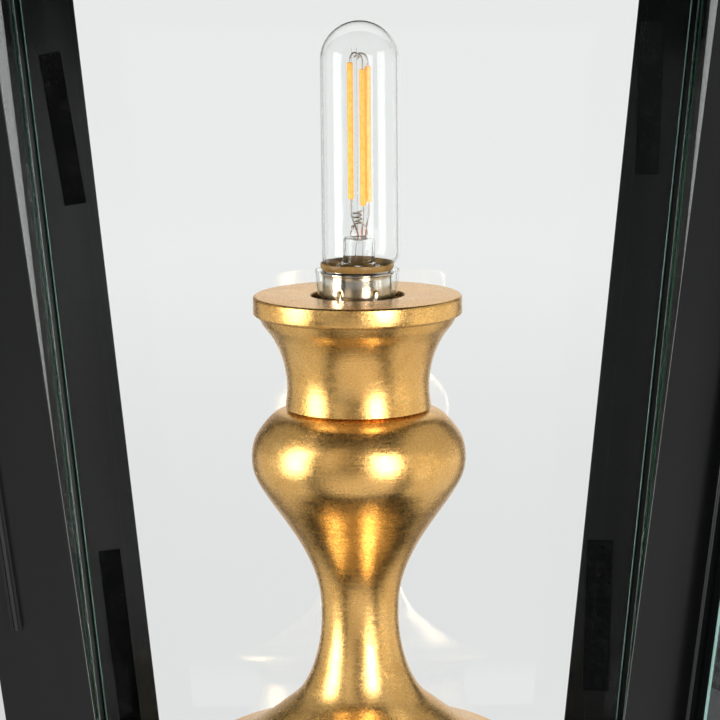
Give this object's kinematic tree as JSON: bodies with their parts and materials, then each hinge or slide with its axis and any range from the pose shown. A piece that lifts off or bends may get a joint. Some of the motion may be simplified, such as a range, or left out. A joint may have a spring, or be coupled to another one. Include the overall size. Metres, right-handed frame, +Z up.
{
  "type": "lantern table lamp",
  "caption": "Tapered square lantern lamp: black steel cage with clear panes, swinging front door, vented roof with ring, gilt turned pedestal and tubular LED bulb",
  "frame": {"origin": "centre of the felt under the base, on the surface that the lamp stands on", "axes": "+Z up; the door is on the -Y side and hinged on the +X side; the cord inlet is on the +Y side"},
  "size_m": [0.5226, 0.5446, 0.627],
  "materials": {
    "felt": "dense wool felt",
    "black_steel": "satin black powder coat on folded steel",
    "zinc": "bright zinc plate",
    "rubber": "soft black rubber",
    "pane_glass": "clear float glass with ground edges",
    "tape": "black foam tape",
    "pipe_brass": "threaded lamp pipe",
    "gold_leaf": "gold leaf on turned wood, warm satin gilding with fine cracks",
    "porcelain": "dark moulded insulator",
    "shell": "pressed thin shell",
    "clear_sleeve": "clear insulating sleeve",
    "bulb_clear": "clear bulb glass",
    "filament": "orange phosphor coating",
    "wire": "thin lead wire",
    "nickel": "nickel plate, satin to bright",
    "insulator": "black vitrite",
    "magnet": "dark ferrite"
  },
  "bodies": {
    "lantern": {"felt_pad": "felt", "base_cover": "black_steel", "cover_standoffs": "zinc", "cover_screws": "zinc", "plinth_step": "black_steel", "plinth_box": "black_steel", "cord_grommet": "rubber", "floor_plate": "black_steel", "post_front_right": "black_steel", "post_rear_right": "black_steel", "post_rear_left": "black_steel", "post_front_left": "black_steel", "bottom_rail_front": "black_steel", "bottom_rail_right": "black_steel", "bottom_rail_rear": "black_steel", "bottom_rail_left": "black_steel", "top_rail_front": "black_steel", "top_rail_right": "black_steel", "top_rail_rear": "black_steel", "top_rail_left": "black_steel", "right_pane": "pane_glass", "rear_pane": "pane_glass", "left_pane": "pane_glass", "pane_pads": "tape", "eave_plate": "black_steel", "roof_hood": "black_steel", "roof_screws": "zinc", "vent_collar": "black_steel", "vent_cap": "black_steel", "finial": "black_steel", "pedestal_foot": "gold_leaf", "pedestal_body": "gold_leaf", "pedestal_neck": "gold_leaf", "lamp_pipe": "pipe_brass", "pipe_washer": "zinc", "pipe_nut": "zinc", "socket_base": "porcelain", "socket_shell": "shell", "socket_contact": "shell", "socket_sleeve": "clear_sleeve", "hinge_lugs": "black_steel", "hinge_pins": "zinc", "catch_magnet": "magnet", "catch_plates": "black_steel"},
    "door": {"door_frame": "black_steel", "door_pane": "pane_glass", "door_pads": "tape", "door_knob": "black_steel", "hinge_leaves": "black_steel", "leaf_screws": "zinc"},
    "bulb": {"bulb_glass": "bulb_clear", "bulb_stem": "bulb_clear", "bulb_filaments": "filament", "bulb_wires": "wire", "bulb_cap": "nickel", "bulb_insulator": "insulator", "bulb_contact": "shell"},
    "ring": {"ring_handle": "black_steel"}
  },
  "joints": [
    {"name": "door_hinge", "type": "hinge", "parent": "lantern", "child": "door", "pos_m": [0.10775, -0.12299, 0.06095], "axis": [0.1066, -0.1066, 0.9886], "range_deg": [-135, 45]},
    {"name": "bulb_lift", "type": "slide", "parent": "lantern", "child": "bulb", "axis": [0, 0, 1], "range_m": [0, 0.03]},
    {"name": "ring_swing", "type": "hinge", "parent": "lantern", "child": "ring", "pos_m": [0, 0, 0.6195], "axis": [1, 0, 0], "range_deg": [0, 253.3]}
  ]
}
